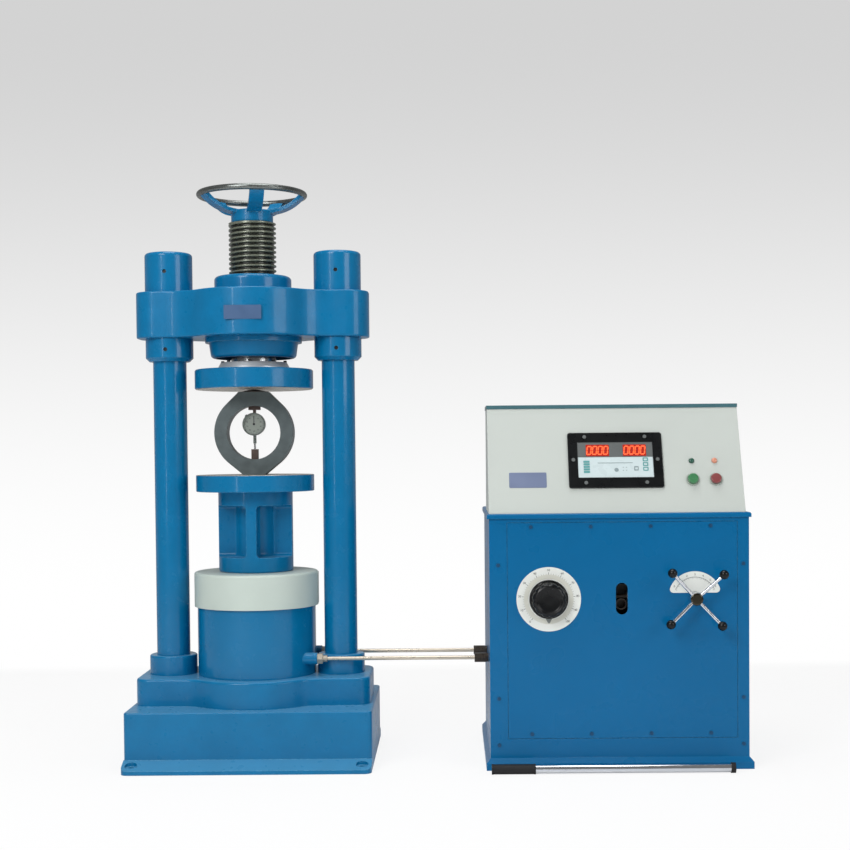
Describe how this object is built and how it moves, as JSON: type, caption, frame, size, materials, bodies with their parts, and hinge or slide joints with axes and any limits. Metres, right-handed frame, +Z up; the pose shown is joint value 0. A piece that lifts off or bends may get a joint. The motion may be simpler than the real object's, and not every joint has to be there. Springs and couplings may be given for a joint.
{
  "type": "compression testing machine",
  "caption": "Two-column hydraulic compression frame with hand-wheel load screw, proving ring between its platens, and a pump and control cabinet joined by pipes.",
  "frame": {"origin": "on the load axis at floor level, centre of the base's anchor bolt pattern", "axes": "+Z up along the load axis, +X from the loading frame to the cabinet, -Y towards the operator"},
  "size_m": [1.531, 0.5885, 1.436],
  "materials": {
    "blue_paint": "gloss",
    "cream_paint": "semi-gloss",
    "teal_paint": "gloss",
    "grey_paint": "satin",
    "rim_chrome": "worn polish",
    "thread_steel": "oiled thread",
    "bright_steel": "ground",
    "ring_steel": "dark satin",
    "black_steel": "black oxide",
    "pipe_steel": "drawn tube",
    "brass_fittings": "machined",
    "cast_block": "machined",
    "chrome_arms": "polished",
    "black_plastic": "gloss",
    "green_plastic": "gloss",
    "red_plastic": "gloss",
    "lamp_plastic": "translucent",
    "screen_face": "matte",
    "scale_plate": "printed",
    "gauge_case": "satin",
    "lens": "clear",
    "rubber": "matte"
  },
  "bodies": {
    "frame": {"base": "blue_paint", "column_left": "blue_paint", "column_right": "blue_paint", "foot_nuts": "blue_paint", "crosshead": "blue_paint", "crosshead_nuts": "blue_paint", "screw_nut": "blue_paint", "nut_lock_ring": "blue_paint", "cylinder": "blue_paint", "cabinet_shell": "blue_paint", "front_panel": "blue_paint", "rear_panel": "blue_paint", "deck": "blue_paint", "set_screws": "black_steel", "panel_screws": "black_steel", "pipe_fittings": "brass_fittings", "pipe_nuts": "brass_fittings", "pressure_pipe": "pipe_steel", "return_pipe": "pipe_steel", "inner_pipes": "pipe_steel", "console_shell": "cream_paint", "console_lid": "teal_paint", "display_bezel": "black_plastic", "button_collars": "black_plastic", "cable_gland": "black_plastic", "display_screen": "screen_face", "lamps": "lamp_plastic", "scale_plates": "scale_plate", "valve_block": "cast_block", "pump": "cast_block", "oil_tank": "grey_paint", "motor": "grey_paint"},
    "seat_block": {"ball_seat": "bright_steel"},
    "load_screw": {"screw_spindle": "thread_steel", "handwheel": "blue_paint", "handwheel_rim": "rim_chrome"},
    "upper_head": {"upper_platen": "blue_paint", "seat_ring": "bright_steel", "seat_bolts": "black_steel"},
    "ram_assembly": {"ram": "bright_steel", "ram_seal": "rubber", "dust_cap": "cream_paint", "pedestal": "blue_paint", "lower_platen": "blue_paint"},
    "ring_gauge": {"proving_ring": "ring_steel", "bearing_pad": "ring_steel", "gauge_mounts": "ring_steel", "gauge_body": "gauge_case", "gauge_lens": "lens"},
    "gauge_plunger": {"gauge_spindle": "bright_steel"},
    "gauge_hand": {"gauge_pointer": "black_steel"},
    "start_key": {"start_button": "green_plastic"},
    "stop_key": {"stop_button": "red_plastic"},
    "rate_dial": {"rate_knob": "black_plastic"},
    "valve_star": {"star_handle": "chrome_arms", "star_balls": "black_plastic"},
    "pump_lever": {"pump_socket": "bright_steel"},
    "drive_coupling": {"motor_coupling": "grey_paint"},
    "loose_handle": {"pump_handle": "chrome_arms", "handle_grip": "rubber"}
  },
  "joints": [
    {"name": "screw_lift", "type": "slide", "parent": "frame", "child": "seat_block", "axis": [0, 0, 1], "range_m": [0, 0.0201]},
    {"name": "screw_turn", "type": "hinge", "parent": "seat_block", "child": "load_screw", "pos_m": [0, 0, 1.2], "axis": [0, 0, 1], "range_deg": [0, 600]},
    {"name": "platen_tilt", "type": "hinge", "parent": "seat_block", "child": "upper_head", "pos_m": [0, 0, 0.935], "axis": [0, 1, 0], "range_deg": [-3, 3]},
    {"name": "ram_travel", "type": "slide", "parent": "frame", "child": "ram_assembly", "axis": [0, 0, 1], "range_m": [-0.05, 0]},
    {"name": "ring_slide", "type": "slide", "parent": "ram_assembly", "child": "ring_gauge", "axis": [0, -1, 0], "range_m": [0, 0.3]},
    {"name": "pointer_turn", "type": "hinge", "parent": "ring_gauge", "child": "gauge_hand", "pos_m": [0, -0.015, 0.8465], "axis": [0, 1, 0], "range_deg": [0, 1800]},
    {"name": "plunger_rise", "type": "slide", "parent": "ring_gauge", "child": "gauge_plunger", "axis": [0, 0, 1], "range_m": [0, 0.005], "stiffness_N_per_m": 100, "springref_m": -0.005},
    {"name": "start_press", "type": "slide", "parent": "frame", "child": "start_key", "axis": [0, 0.9135, -0.4067], "range_m": [0, 0.004], "stiffness_N_per_m": 500, "springref_m": -0.002},
    {"name": "stop_press", "type": "slide", "parent": "frame", "child": "stop_key", "axis": [0, 0.9135, -0.4067], "range_m": [0, 0.004], "stiffness_N_per_m": 500, "springref_m": -0.002},
    {"name": "rate_turn", "type": "hinge", "parent": "frame", "child": "rate_dial", "pos_m": [0.734, -0.217, 0.414], "axis": [0, 1, 0], "range_deg": [0, 270]},
    {"name": "star_turn", "type": "hinge", "parent": "frame", "child": "valve_star", "pos_m": [1.087, -0.217, 0.414], "axis": [0, 1, 0], "range_deg": [-75, 75]},
    {"name": "lever_swing", "type": "hinge", "parent": "frame", "child": "pump_lever", "pos_m": [0.9107, -0.19, 0.4165], "axis": [1, 0, 0], "range_deg": [-15, 15]},
    {"name": "coupling_spin", "type": "hinge", "parent": "frame", "child": "drive_coupling", "pos_m": [0.757, 0.13, 0.285], "axis": [1, 0, 0], "continuous": true},
    {"name": "handle_draw", "type": "slide", "parent": "frame", "child": "loose_handle", "axis": [0, -1, 0], "range_m": [0, 0.3]}
  ],
  "couplings": [
    {"joint": "screw_lift", "follows": "screw_turn", "m_per_rad": 0.0019099},
    {"joint": "pointer_turn", "follows": "plunger_rise", "rad_per_m": 6283.1}
  ]
}
